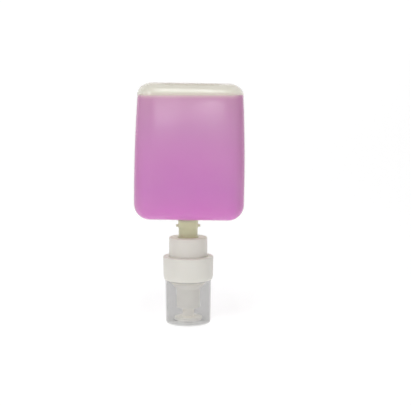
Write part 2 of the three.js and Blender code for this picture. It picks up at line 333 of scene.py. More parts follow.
@dataclass(frozen=True)
class PinkLiquid:
    """Cloudy pink soap with painted light: paler towards its level, deeper and brighter at the
    foot and walls.
    """

    name: str
    foot: float
    level: float
    half_width: float
    painted_edge_depth: float = 13.0
    painted_edge_pink: Colour = (213, 112, 196)
    cloudy: Colour = (219, 162, 206)
    roughness: float = 0.17

    def material(self) -> Material:
        """Build the material."""
        tree = ShaderTree(self.name)
        span = {"From Min": self.foot * MM, "From Max": self.level * MM}
        share = tree.add("ShaderNodeMapRange", {"Value": tree.axis("Z"), **span})
        # Painted light: the pink runs paler towards the level, as if lit from above, and deeper
        # towards the foot.
        stops = [
            (0.0, (216, 76, 206)),
            (0.1, (212, 74, 204)),
            (0.25, (207, 84, 203)),
            (0.5, (212, 111, 205)),
            (0.75, (208, 124, 200)),
            (0.97, (207, 133, 193)),
            (1.0, (223, 187, 204)),
        ]
        body = tree.ramp(share.outputs["Result"], stops)
        # Painted light: a brighter, deeper pink near the side walls stands in for light glowing
        # through the soap's edges.
        across = tree.maths("ABSOLUTE", tree.axis("X"))
        inner = (self.half_width - self.painted_edge_depth) * MM
        painted_edge_share = tree.spread(across, inner, self.half_width * MM, 0.0, 0.55)
        body = tree.mix(painted_edge_share, body, self.painted_edge_pink)
        cloud = tree.spread(tree.noise(16, 2), *NOISE_SPAN, 0.0, 0.12)
        tree.feed("Base Color", tree.mix(cloud, body, self.cloudy))
        tree.gloss(tree.noise(40), self.roughness - 0.02, self.roughness + 0.03)
        tree.set(
            Subsurface_Weight=0.1,
            Subsurface_Radius=(1.0, 0.45, 0.85),
            Subsurface_Scale=0.008,
            Specular_IOR_Level=0.5,
        )
        return tree.material


@dataclass(frozen=True)
class Frosted:
    """Frosted clear polypropylene, a little clouded towards its foot.

    The haze scatters part of its light onwards, so that the cup glows a little inside.
    """

    name: str
    veil: float
    foot_veil: float
    # The haze's grey is painted shade: the frosted plastic is paler, and the grey stands in for
    # the dim surroundings seen blurred through it.
    colour: Colour = (158, 157, 155)
    onward: float = 0.3
    roughness: float = 0.4

    def material(self) -> Material:
        """Build the material."""
        tree = ShaderTree(self.name)
        # The haze colour here carries the painted shade.
        shade = tree.mix(tree.noise(120), self.colour, darker(self.colour, 4))
        tree.feed("Base Color", shade)
        foot = tree.spread(tree.axis("Z"), 0.001, 0.006, self.foot_veil, self.veil)
        streaks = tree.spread(tree.noise(90), *NOISE_SPAN, -0.012, 0.012)
        veil = tree.maths("ADD", foot, streaks)
        onward = tree.add("ShaderNodeBsdfTranslucent", {"Color": shade})
        haze = tree.overlay(self.onward, tree.surface.outputs[0], onward.outputs[0])
        clear = tree.add("ShaderNodeBsdfTransparent").outputs[0]
        tree.finish(tree.overlay(veil, clear, haze))
        tree.gloss(tree.noise(260), self.roughness - 0.04, self.roughness + 0.06)
        tree.bump(tree.noise(420, 1), 0.05, 0.00004)
        tree.set(Specular_IOR_Level=0.55)
        return tree.material


@dataclass(frozen=True)
class DrawnWire:
    """Drawn stainless wire with fine streaks along its length."""

    name: str
    colour: Colour = (196, 198, 200)
    shade: Colour = (150, 152, 156)

    def material(self) -> Material:
        """Build the material."""
        tree = ShaderTree(self.name)
        streak = tree.noise(1500)
        tree.feed("Base Color", tree.mix(streak, self.shade, self.colour))
        tree.gloss(streak, 0.22, 0.4)
        tree.bump(tree.noise(2600, 2), 0.15, 0.00003)
        tree.set(Metallic=1.0)
        return tree.material


@dataclass(frozen=True)
class Woven:
    """Fine nylon yarn."""

    name: str
    colour: Colour = (238, 237, 231)

    def material(self) -> Material:
        """Build the material."""
        tree = ShaderTree(self.name)
        yarn = tree.noise(2200)
        tree.feed("Base Color", tree.mix(yarn, darker(self.colour, 20), self.colour))
        tree.gloss(yarn, 0.55, 0.75)
        tree.bump(yarn, 0.2, 0.00002)
        tree.set(Sheen_Weight=0.15)
        return tree.material


@dataclass(frozen=True)
class Paper:
    """Plain pale studio ground, lit a little by itself so that it stays even."""

    name: str = "studio_white"
    glow: float = 0.7

    def material(self) -> Material:
        """Build the material."""
        tree = ShaderTree(self.name)
        tree.set(Base_Color=(0.5, 0.5, 0.5, 1.0), Roughness=0.9, Specular_IOR_Level=0.0)
        tree.set(Emission_Color=(1.0, 1.0, 1.0, 1.0), Emission_Strength=self.glow)
        return tree.material


# ------------------------------------------------------------------ meshes


def bare_object(name: str, mesh: Mesh) -> Object:
    """Put a mesh in the scene at the origin.

    Args:
        name: The object's name.
        mesh: Its mesh.

    Returns:
        The new object.
    """
    made = bpy.data.objects.new(name, mesh)
    bpy.context.scene.collection.objects.link(made)
    return made


def face_outwards(mesh: Mesh) -> None:
    """Flip a closed mesh if its faces point inwards, and take out its flat faces."""
    work = bmesh.new()
    work.from_mesh(mesh)
    bmesh.ops.dissolve_degenerate(work, dist=SLIVER, edges=work.edges)
    if work.calc_volume(signed=True) < 0:
        bmesh.ops.reverse_faces(work, faces=work.faces)
    work.to_mesh(mesh)
    work.free()


def smooth(mesh: Mesh, angle: float = 32.0) -> None:
    """Shade a mesh smooth, with edges sharper than the angle in degrees left crisp."""
    mesh.polygons.foreach_set("use_smooth", [True] * len(mesh.polygons))
    mesh.set_sharp_from_angle(angle=math.radians(angle))


def place(made: Object, body: Body, slot: Slot, *nodes: str) -> Object:
    """Ride a finished piece on its body, in place of any nodes it stands for.

    Args:
        made: The piece.
        body: The body that carries it.
        slot: The record's slot for its finish; not used.
        *nodes: The frame's nodes that it stands for.

    Returns:
        The piece.
    """
    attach(made, body.value)
    if nodes:
        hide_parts(*nodes)
    LOG.info("%s: %d faces on %s", made.name, len(made.data.polygons), body.value)
    return made


def rounded(corners: list[Corner], closed: bool, steps: int = 4) -> list[tuple[float, float]]:
    """Round a section's corners.

    Args:
        corners: Radius, height and fillet of each corner, in millimetres.
        closed: Whether the section closes on itself, or starts and ends on the axis.
        steps: Facets in each fillet.

    Returns:
        Radius and height of each point, in millimetres.
    """
    points = []
    count = len(corners)
    for i, (r, z, fillet) in enumerate(corners):
        here = Vector((r, z))
        if fillet <= 0 or (not closed and i in (0, count - 1)):
            points.append((r, z))
            continue
        before = Vector(corners[i - 1][:2]) - here
        after = Vector(corners[(i + 1) % count][:2]) - here
        half = before.angle(after) / 2
        longest = FILLET_REACH * min(before.length, after.length)
        reach = min(fillet / math.tan(half), longest)
        radius = reach * math.tan(half)
        start, end = here + before.normalized() * reach, here + after.normalized() * reach
        centre = here + (before.normalized() + after.normalized()).normalized() * (
            radius / math.sin(half)
        )
        first, last = (start - centre).normalized(), (end - centre).normalized()
        bend = first.angle(last)
        for step in range(steps + 1):
            share = step / steps
            weight = (math.sin((1 - share) * bend), math.sin(share * bend))
            spoke = (first * weight[0] + last * weight[1]) / math.sin(bend)
            points.append(tuple(centre + spoke * radius))
    return points


def extent(node: str) -> tuple[float, float, float]:
    """Give a round node's foot, top and radius in the frame, in millimetres."""
    low, high = (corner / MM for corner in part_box(node))
    return low.z, high.z, high.x


# ------------------------------------------------------------------ geometry node trees


class GeometryTree(NodeTree):
    """A geometry node tree with named inputs, run on an object to give a plain mesh."""

    def __init__(self, name: str, **inputs: str) -> None:
        """Start the tree.

        Args:
            name: The tree's name.
            **inputs: Socket type endings, such as Float or Int, by input name.
        """
        self.group = bpy.data.node_groups.new(name, "GeometryNodeTree")
        super().__init__(self.group)
        face = self.group.interface
        face.new_socket("Geometry", in_out="INPUT", socket_type="NodeSocketGeometry")
        for label, kind in {**inputs, "Material": "Material"}.items():
            face.new_socket(label, in_out="INPUT", socket_type=f"NodeSocket{kind}")
        face.new_socket("Geometry", in_out="OUTPUT", socket_type="NodeSocketGeometry")
        self.given = self.add("NodeGroupInput").outputs
        self.result = self.add("NodeGroupOutput").inputs[0]

    def vector(self, x: object = 0.0, y: object = 0.0, z: object = 0.0) -> Socket:
        """Combine three sockets or numbers into a vector."""
        return self.add("ShaderNodeCombineXYZ", {"X": x, "Y": y, "Z": z}).outputs[0]

    def spot(self) -> bpy.types.NodeOutputs:
        """Give each point's place, split into X, Y and Z."""
        return self.split(self.add("GeometryNodeInputPosition").outputs[0])

    def real(self, geometry: Socket) -> Socket:
        """Make instances real."""
        return self.add("GeometryNodeRealizeInstances", {"Geometry": geometry}).outputs[0]

    def raised(self, geometry: Socket, height: Socket) -> Socket:
        """Lift geometry along Z."""
        plugs = {"Geometry": geometry, "Translation": self.vector(z=height)}
        return self.add("GeometryNodeTransform", plugs).outputs[0]

    def circle(self, facets: object, radius: Socket) -> Socket:
        """Draw a round curve of so many facets."""
        plugs = {"Resolution": facets, "Radius": radius}
        return self.add("GeometryNodeCurvePrimitiveCircle", plugs).outputs[0]

    def swept(
        self,
        curve: Socket,
        outline: Socket,
        capped: bool = True,
        scale: object = 1.0,
    ) -> Socket:
        """Sweep an outline along a curve.

        Args:
            curve: The curve.
            outline: The outline.
            capped: Whether the ends are closed.
            scale: Socket or number, the outline's scale along the curve.

        Returns:
            The swept mesh.
        """
        plugs = {"Curve": curve, "Profile Curve": outline, "Scale": scale, "Fill Caps": capped}
        return self.add("GeometryNodeCurveToMesh", plugs).outputs[0]

    def close(self, geometry: Socket) -> None:
        """End the tree with real geometry in the given material."""
        plugs = {"Geometry": self.real(geometry), "Material": self.given["Material"]}
        self.links.new(self.add("GeometryNodeSetMaterial", plugs).outputs[0], self.result)

    def run(self, name: str, source: Mesh, finish: Material, **values: object) -> Object:
        """Run the tree on a mesh.

        Args:
            name: The new object's name.
            source: The mesh that the tree starts from.
            finish: The material of all the faces that come out.
            **values: Input values by name, with underscores for spaces.

        Returns:
            An object with the plain mesh that the tree gives.
        """
        made = bare_object(name, source)
        modifier = made.modifiers.new(name, "NODES")
        modifier.node_group = self.group
        known = {
            item.name: item.identifier
            for item in self.group.interface.items_tree
            if item.in_out == "INPUT"
        }
        for key, value in {**values, "Material": finish}.items():
            modifier[known[key.replace("_", " ")]] = value
        bpy.context.view_layer.update()
        deps = bpy.context.evaluated_depsgraph_get()
        plain = bpy.data.meshes.new_from_object(made.evaluated_get(deps), depsgraph=deps)
        made.modifiers.remove(modifier)
        plain.materials.clear()
        plain.materials.append(finish)
        plain.polygons.foreach_set("material_index", [0] * len(plain.polygons))
        made.data = plain
        plain.name = name
        return made


class TurningLathe(GeometryTree):
    """Turns a section about the upright axis into a closed solid."""

    def __init__(self) -> None:
        """Build the tree: a sheet of points wrapped round the axis and sewn together."""
        super().__init__("turning_lathe", Sides="Int")
        section = self.given["Geometry"]
        size = self.add("GeometryNodeAttributeDomainSize", {"Geometry": section})
        rows = size.outputs["Point Count"]
        columns = self.maths("ADD", self.given["Sides"], 1.0)
        sheet = self.add(
            "GeometryNodeMeshGrid",
            {"Size X": 1.0, "Size Y": 1.0, "Vertices X": columns, "Vertices Y": rows},
        )
        spot = self.add("GeometryNodeInputPosition").outputs[0]
        at = self.split(spot)
        angle = self.maths("MULTIPLY", self.maths("ADD", at["X"], 0.5), TURN)
        last = self.maths("SUBTRACT", rows, 1.0)
        row = self.maths("ROUND", self.maths("MULTIPLY", self.maths("ADD", at["Y"], 0.5), last))
        sample = self.add(
            "GeometryNodeSampleIndex",
            {"Geometry": section, "Value": spot, "Index": row},
            data_type="FLOAT_VECTOR",
        )
        point = self.split(sample.outputs[0])
        turned = self.vector(
            self.maths("MULTIPLY", point["X"], self.maths("COSINE", angle)),
            self.maths("MULTIPLY", point["X"], self.maths("SINE", angle)),
            point["Z"],
        )
        plugs = {"Geometry": sheet.outputs[0], "Position": turned}
        bent = self.add("GeometryNodeSetPosition", plugs).outputs[0]
        sewn = self.add("GeometryNodeMergeByDistance", {"Geometry": bent, "Distance": SEAM})
        self.close(sewn.outputs[0])

    def turn(self, name: str, corners: list[Corner], finish: Material, sides: int = 96) -> Object:
        """Turn a section with rounded corners.

        Args:
            name: The new object's name.
            corners: Radius, height and fillet of each corner, anticlockwise, in millimetres.
            finish: The material.
            sides: Facets round the axis.

        Returns:
            The turned object.
        """
        closed = corners[0][0] > 0
        points = rounded(corners, closed)
        if closed:
            points.append(points[0])
        source = bpy.data.meshes.new(name + "_section")
        places = [(r * MM, 0.0, z * MM) for r, z in points]
        source.from_pydata(places, [(i, i + 1) for i in range(len(places) - 1)], [])
        made = self.run(name, source, finish, Sides=sides)
        face_outwards(made.data)
        smooth(made.data)
        return made


class HolePunch(GeometryTree):
    """Cuts a ring of round holes through a solid."""

    def __init__(self) -> None:
        """Build the tree: cutters set round a circle and taken from the solid."""
        floats = dict.fromkeys(("Ring", "Hole", "Middle", "Depth", "Tilt"), "Float")
        super().__init__("hole_punch", Count="Int", **floats)
        ring = self.add(
            "GeometryNodeMeshCircle",
            {"Vertices": self.given["Count"], "Radius": self.given["Ring"]},
        )
        cutter = self.add(
            "GeometryNodeMeshCylinder",
            {"Vertices": 20, "Radius": self.given["Hole"], "Depth": self.given["Depth"]},
        )
        spot = self.spot()
        facing = self.maths("ARCTAN2", spot["Y"], spot["X"])
        turned = self.add(
            "FunctionNodeEulerToRotation",
            {"Euler": self.vector(0.0, self.given["Tilt"], facing)},
        )
        placed = self.add(
            "GeometryNodeInstanceOnPoints",
            {
                "Points": ring.outputs[0],
                "Instance": cutter.outputs[0],
                "Rotation": turned.outputs[0],
            },
        )
        cutters = self.real(self.raised(placed.outputs[0], self.given["Middle"]))
        cut = self.add(
            "GeometryNodeMeshBoolean",
            {"Mesh 1": self.given["Geometry"], "Mesh 2": cutters},
            operation="DIFFERENCE",
            solver="MANIFOLD",
        )
        self.close(cut.outputs["Mesh"])

    def punch(self, solid: Object, finish: Material, **sizes: float) -> Object:
        """Punch a turned solid.

        Args:
            solid: The solid, which is used up.
            finish: The material.
            **sizes: Count, Ring, Hole, Middle and Depth in metres, and Tilt in radians.

        Returns:
            The punched object, under the solid's name.
        """
        name, source = solid.name, solid.data
        bpy.data.objects.remove(solid)
        made = self.run(name, source, finish, **sizes)
        smooth(made.data)
        return made


class Winder(GeometryTree):
    """Winds a round or ridged section along a helix that may close up at its ends."""

    def __init__(self) -> None:
        """Build the tree: a spiral with its rise eased, swept by a small outline."""
        names = ("Radius", "Low", "Rise", "Turns", "Closing", "Wire", "Taper")
        super().__init__("winder", Facets="Int", **dict.fromkeys(names, "Float"))
        spiral = self.add(
            "GeometryNodeCurveSpiral",
            {
                "Resolution": 48,
                "Rotations": self.given["Turns"],
                "Start Radius": self.given["Radius"],
                "End Radius": self.given["Radius"],
                "Height": self.given["Rise"],
            },
        )
        share = self.add("GeometryNodeSplineParameter").outputs["Factor"]
        wave = self.maths("SINE", self.maths("MULTIPLY", share, TURN))
        ease = self.maths("DIVIDE", self.maths("MULTIPLY", wave, self.given["Closing"]), TURN)
        risen = self.maths("MULTIPLY", self.maths("SUBTRACT", share, ease), self.given["Rise"])
        spot = self.spot()
        height = self.maths("ADD", risen, self.given["Low"])
        eased = self.add(
            "GeometryNodeSetPosition",
            {"Geometry": spiral.outputs[0], "Position": self.vector(spot["X"], spot["Y"], height)},
        )
        nearest = self.maths("MINIMUM", share, self.maths("SUBTRACT", 1.0, share))
        scale = self.maths("MINIMUM", self.maths("DIVIDE", nearest, self.given["Taper"]), 1.0)
        outline = self.circle(self.given["Facets"], self.given["Wire"])
        scale = self.maths("MAXIMUM", scale, 0.2)
        self.close(self.swept(eased.outputs[0], outline, scale=scale))

    def wind(self, name: str, finish: Material, **sizes: float) -> Object:
        """Wind one helix.

        Args:
            name: The new object's name.
            finish: The material.
            **sizes: The tree's inputs, lengths in metres.

        Returns:
            The wound object.
        """
        made = self.run(name, bpy.data.meshes.new(name), finish, **sizes)
        face_outwards(made.data)
        smooth(made.data, 50)
        return made


class Loom(GeometryTree):
    """Weaves a round disc of plain mesh inside a welded rim."""

    def __init__(self) -> None:
        """Build the tree: two crossed sets of waved yarns, and the rim round them."""
        names = ("Radius", "Pitch", "Yarn", "Height")
        super().__init__("loom", **dict.fromkeys(names, "Float"))
        self.yarn_outline = self.circle(6, self.given["Yarn"])
        warp = self.yarns(1.0)
        weft = self.add(
            "GeometryNodeTransform",
            {"Geometry": self.yarns(-1.0), "Rotation": (0.0, 0.0, math.pi / 2)},
        ).outputs[0]
        rim_outline = self.circle(8, self.maths("MULTIPLY", self.given["Yarn"], 2.0))
        rim = self.swept(self.circle(64, self.given["Radius"]), rim_outline, capped=False)
        joined = self.add("GeometryNodeJoinGeometry")
        for part in (warp, weft, rim):
            self.links.new(part, joined.inputs[0])
        self.close(self.raised(joined.outputs[0], self.given["Height"]))

    def yarns(self, side: float) -> Socket:
        """Build one set of parallel yarns along X, cut to the disc.

        Args:
            side: Plus one for the set that starts above, minus one for the other.

        Returns:
            The set's mesh.
        """
        radius, pitch = self.given["Radius"], self.given["Pitch"]
        reach = self.maths("FLOOR", self.maths("DIVIDE", radius, pitch))
        count = self.maths("SUBTRACT", self.maths("MULTIPLY", reach, 2.0), 1.0)
        start = self.maths("MULTIPLY", self.maths("SUBTRACT", 1.0, reach), pitch)
        line = self.add(
            "GeometryNodeMeshLine",
            {
                "Count": count,
                "Start Location": self.vector(y=start),
                "Offset": self.vector(y=pitch),
            },
        )
        unit = self.add(
            "GeometryNodeCurvePrimitiveLine", {"Start": (-1.0, 0.0, 0.0), "End": (1.0, 0.0, 0.0)}
        )
        squares = [self.maths("POWER", length, 2.0) for length in (radius, self.spot()["Y"])]
        chord = self.maths("SQRT", self.maths("MAXIMUM", self.maths("SUBTRACT", *squares), 0.0))
        laid = self.add(
            "GeometryNodeInstanceOnPoints",
            {
                "Points": line.outputs[0],
                "Instance": unit.outputs[0],
                "Scale": self.vector(chord, 1.0, 1.0),
            },
        )
        real = self.real(laid.outputs[0])
        fine = self.add("GeometryNodeResampleCurve", {"Curve": real, "Count": 61})
        spot = self.spot()
        phase = self.maths("DIVIDE", self.maths("ADD", spot["X"], spot["Y"]), pitch)
        wave = self.maths("COSINE", self.maths("MULTIPLY", phase, math.pi))
        height = self.maths("MULTIPLY", self.given["Yarn"], side * 0.9)
        swing = self.vector(z=self.maths("MULTIPLY", wave, height))
        plugs = {"Geometry": fine.outputs[0], "Offset": swing}
        waved = self.add("GeometryNodeSetPosition", plugs)
        return self.swept(waved.outputs[0], self.yarn_outline)

    def weave(self, name: str, finish: Material, **sizes: float) -> Object:
        """Weave one screen.

        Args:
            name: The new object's name.
            finish: The material.
            **sizes: The tree's inputs, in metres.

        Returns:
            The woven object.
        """
        made = self.run(name, bpy.data.meshes.new(name), finish, **sizes)
        smooth(made.data, 60)
        return made


@dataclass(frozen=True)
class Stock:
    """What a moulding is made of: its finish and the record's slot for it."""

    finish: Material
    slot: Slot


@dataclass
class Workshop:
    """The shared node trees and stocks that the sub-assemblies draw on."""

    lathe: TurningLathe
    punch: HolePunch
    winder: Winder
    loom: Loom
    white: Stock
    # Painted light: the pump's white plastic, painted paler and glowing, for the parts seen
    # through the cup.
    bright: Stock
    elastomer: Stock
    buff: Stock


@dataclass
class Assembly:
    """A sub-assembly made in the workshop, all of it on one body."""

    shop: Workshop
    body: ClassVar[Body] = Body.PACK

    def mould(
        self,
        name: str,
        node: str,
        stock: Stock,
        corners: list[Corner],
        sides: int = 96,
        **holes: float,
    ) -> Object:
        """Turn a moulding, punch its holes if it has any, and place it.

        Args:
            name: The piece's name.
            node: The frame's node that it stands for.
            stock: What it is made of.
            corners: Radius, height and fillet of each corner, anticlockwise, in millimetres.
            sides: Facets round the axis.
            **holes: The punch's sizes.

        Returns:
            The piece.
        """
        made = self.shop.lathe.turn(name, corners, stock.finish, sides)
        if holes:
            made = self.shop.punch.punch(made, stock.finish, **holes)
        return place(made, self.body, stock.slot, node)


# ------------------------------------------------------------------ bottle and soap


@dataclass
class BottleForm:
    """The blow-moulded form: a rounded box, base up, drawn into a round neck.

    The form is a stack of rings. Every ring has the same points in the same order, so the
    round neck, the shoulder, the walls and the base are one skin.
    """

    shoulder: float = 107.9
    base: float = 242.3
    widest: float = 144.0
    half_width: float = 54.5
    half_depth: float = 41.9
    barrel: float = 2.6
    corner: float = 16.0
    least_corner: float = 3.0
    shoulder_radius: float = 15.8
    base_radius: float = 11.3
    wall: float = 0.5
    dish: float = 1.5
    dish_edge: float = 0.89
    dish_slope: float = 0.29
    pillow: float = 0.5
    lean: float = math.radians(0.9)
    neck: float = 10.1
    bore: float = 8.0
    flare: float = 14.1
    mouth: float = 70.5
    seam_width: float = 0.55
    seam_height: float = 0.22
    seam_pinch: float = 0.35
    corner_steps: int = 12
    side_steps: int = 14
    curve_steps: int = 12
    wall_steps: int = 20

    def around(self, half_x: float, half_y: float, corner: float) -> np.ndarray:
        """Give one level's outline before any bulge.

        Args:
            half_x: Half the width.
            half_y: Half the depth.
            corner: Radius of the upright corners.

        Returns:
            Points anticlockwise from the middle of the +X side, as rows of x and y.
        """
        flat_y, flat_x = half_y - corner, half_x - corner
        fine = [0.0, 0.25 * self.seam_width, 0.5 * self.seam_width, self.seam_width]
        side = [*fine, *np.linspace(min(2.5, flat_y * 0.3), flat_y, 6)]
        quarter = [(half_x, y) for y in side]
        for step in range(1, self.corner_steps + 1):
            angle = math.pi / 2 * step / self.corner_steps
            quarter.append((flat_x + corner * math.cos(angle), flat_y + corner * math.sin(angle)))
        for step in range(1, self.side_steps // 2 + 1):
            quarter.append((flat_x * (1 - 2 * step / self.side_steps), half_y))
        first = np.array(quarter)
        second = (first[::-1] * (-1, 1))[1:]
        upper = np.vstack((first, second))
        lower = (upper[::-1] * (1, -1))[1:-1]
        return np.vstack((upper, lower))

    def level(self, z: float, inset: float, skin: float, swell: float = 1.0) -> np.ndarray:
        """Give one ring of the walls, leaning with the bottle.

        Args:
            z: Height on the upright bottle.
            inset: Distance in from the widest outline.
            skin: Distance of this skin under the outside.
            swell: Share of the pillow bulge at this level.

        Returns:
            The ring's points in millimetres.
        """
        rise = (z - self.widest) / (self.base - self.base_radius - self.widest)
        drawn = self.barrel * rise * rise + inset
        half_x, half_y = self.half_width - drawn, self.half_depth - drawn
        flat = self.around(half_x, half_y, max(self.corner - inset, self.least_corner))
        span = flat / (half_x, half_y)
        bulge = np.clip(1 - span[:, ::-1] ** 2, 0, 1) * (np.abs(span) > 0.9)
        flat = flat + np.sign(flat) * bulge * self.pillow * swell
        if skin == 0:
            on_side = np.abs(flat[:, 1]) < self.seam_width
            ridge = self.seam_height * (1 - (flat[:, 1] / self.seam_width) ** 2)
            flat[:, 0] += np.sign(flat[:, 0]) * np.where(on_side, ridge, 0.0)
        return self.leaning(flat[:, 0], flat[:, 1], np.full(len(flat), z))

    def leaning(self, x: np.ndarray, y: np.ndarray, z: np.ndarray) -> np.ndarray:
        """Lean points about the neck's mouth towards +X."""
        height = z - self.mouth
        leaning_x = x * math.cos(self.lean) + height * math.sin(self.lean)
        leaning_z = self.mouth + height * math.cos(self.lean) - x * math.sin(self.lean)
        return np.column_stack((leaning_x, y, leaning_z))

    def circle(self, radius: float, z: float) -> np.ndarray:
        """Give a round upright ring whose points match those of the walls."""
        inset = self.shoulder_radius
        half_x, half_y = self.half_width - inset, self.half_depth - inset
        flat = self.around(half_x, half_y, self.least_corner) / (half_x, half_y)
        angle = np.arctan2(flat[:, 1], flat[:, 0])
        x, y = radius * np.cos(angle), radius * np.sin(angle)
        return np.column_stack((x, y, np.full(len(angle), z)))

    def body(self, skin: float) -> list[np.ndarray]:
        """Give the rings from the shoulder's flat to the middle of the base.

        Args:
            skin: Distance in from the outside.

        Returns:
            The rings, lowest first.
        """
        rings = []
        low, high = self.shoulder + self.shoulder_radius, self.base - self.base_radius
        foot = self.level(self.shoulder + skin, self.shoulder_radius, skin, 0.0)
        throat = self.circle(self.flare - skin, self.shoulder + skin)
        for share in (0.0, 0.12, 0.3, 0.5, 0.7, 0.86):
            rings.append(throat * (1 - share) + foot * share)
        shares = [step / self.curve_steps for step in range(self.curve_steps + 1)]
        for share in shares:
            angle = math.pi / 2 * (share - 1)
            reach = self.shoulder_radius - skin
            inset = self.shoulder_radius - reach * math.cos(angle)
            rings.append(self.level(low + reach * math.sin(angle), inset, skin, share))
        for step in range(1, self.wall_steps):
            z = low + (high - low) * step / self.wall_steps
            rings.append(self.level(z, skin, skin))
        for share in shares:
            angle = math.pi / 2 * share
            reach = self.base_radius - skin
            inset = self.base_radius - reach * math.cos(angle)
            rings.append(self.level(high + reach * math.sin(angle), inset, skin, 1 - share))
        return rings + self.recess(skin)

    def recess(self, skin: float) -> list[np.ndarray]:
        """Give the base's rings, from its rim in and down to the middle of its recess."""
        rim = self.level(self.base - skin, self.base_radius, skin, 0.0)
        middle = rim.mean(axis=0)
        rings = []
        for share in (0.94, 0.89, 0.84, 0.79, 0.74, 0.69, 0.64, 0.58, 0.48, 0.36, 0.22, 0.1):
            slope = min(max((self.dish_edge - share) / self.dish_slope, 0.0), 1.0)
            drop = self.dish * slope * slope * (3 - 2 * slope)
            ring = middle + (rim - middle) * (share, share, share)
            keep = np.abs(rim[:, 1]) <= self.seam_width
            ring[keep, 1] = rim[keep, 1] * max(share, self.seam_pinch)
            ring[:, 2] -= drop
            if skin == 0:
                ridge = 1 - np.clip(np.abs(rim[:, 1]) / self.seam_width, 0, 1) ** 2
                ring[:, 2] += np.where(keep, ridge * self.seam_height * slope, 0.0)
            rings.append(ring)
        return rings

    def skin(self, rings: list[np.ndarray], finish_index: int, faces: list, start: int) -> None:
        """Add the faces between rings, and the fan that closes the last one.

        Args:
            rings: The rings.
            finish_index: Material slot of these faces.
            faces: Where the faces go, with their slot.
            start: Index of the first ring's first point.
        """
        count = len(rings[0])
        for row in range(len(rings) - 1):
            low = start + row * count
            for i in range(count):
                after = (i + 1) % count
                quad = (low + i, low + after, low + count + after, low + count + i)
                faces.append((quad, finish_index))
        last = start + (len(rings) - 1) * count
        faces.append((tuple(last + i for i in range(count)), finish_index))


